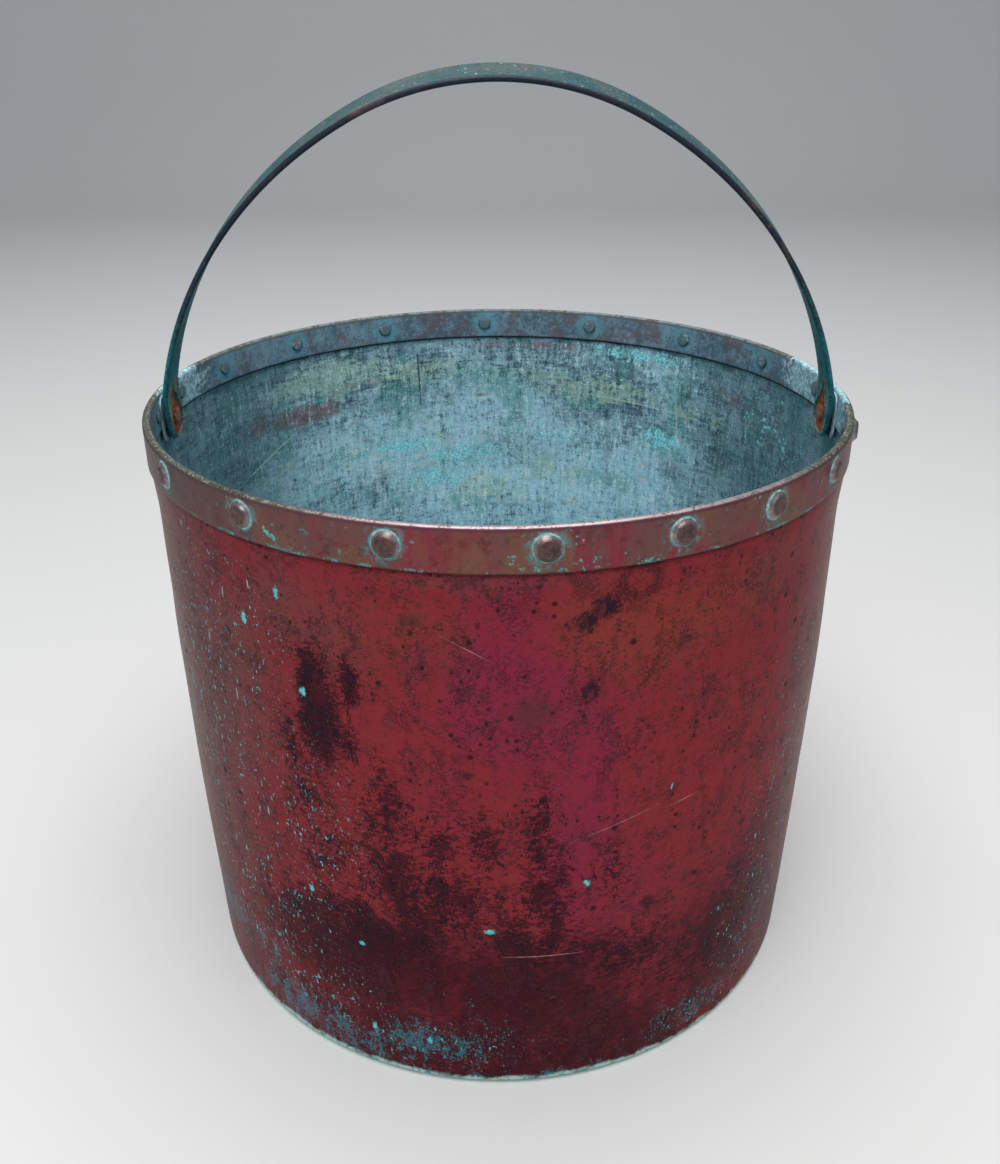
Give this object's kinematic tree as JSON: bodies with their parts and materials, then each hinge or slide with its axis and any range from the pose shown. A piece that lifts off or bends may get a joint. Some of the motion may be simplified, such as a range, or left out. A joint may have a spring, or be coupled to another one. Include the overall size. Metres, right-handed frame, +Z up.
{
  "type": "copper bucket",
  "caption": "Round, nearly straight-sided copper pan with a riveted rim band and a swinging copper-sheathed iron bail, worn and patinated.",
  "frame": {"origin": "centre of the base, on the surface it stands on", "axes": "+Z up; +X to the right pivot, so the bail swings about X; -Y is the front"},
  "size_m": [0.4052, 0.4054, 0.5217],
  "materials": {
    "pan_copper": "copper sheet, red-maroon patina outside and blue-green patina inside",
    "band_copper": "copper strip, brown-red patina with verdigris along its edges",
    "rivet_copper": "copper, brown patina with a ring of verdigris round each head",
    "plate_copper": "copper with pale blue-green patina",
    "sheath_copper": "copper sheet, dark teal patina worn brown along its edges",
    "rusty_iron": "wrought iron, scaly orange-brown rust"
  },
  "bodies": {
    "bucket": {"pan": "pan_copper", "rim_band": "band_copper", "rivet_01": "rivet_copper", "rivet_02": "rivet_copper", "rivet_03": "rivet_copper", "rivet_04": "rivet_copper", "rivet_05": "rivet_copper", "rivet_06": "rivet_copper", "rivet_07": "rivet_copper", "rivet_08": "rivet_copper", "rivet_09": "rivet_copper", "rivet_10": "rivet_copper", "rivet_11": "rivet_copper", "rivet_12": "rivet_copper", "rivet_13": "rivet_copper", "rivet_14": "rivet_copper", "rivet_15": "rivet_copper", "rivet_16": "rivet_copper", "rivet_17": "rivet_copper", "rivet_18": "rivet_copper", "pivot_plate_left": "plate_copper", "pivot_plate_right": "plate_copper", "pivot_washer_left": "rusty_iron", "pivot_washer_right": "rusty_iron", "pivot_pin_left": "rusty_iron", "pivot_pin_right": "rusty_iron"},
    "bail": {"bail_core": "rusty_iron", "bail_sheath": "sheath_copper"}
  },
  "joints": [
    {"name": "bail_swing", "type": "hinge", "parent": "bucket", "child": "bail", "pos_m": [0, 0, 0.332], "axis": [1, 0, 0], "range_deg": [-101, 79]}
  ]
}
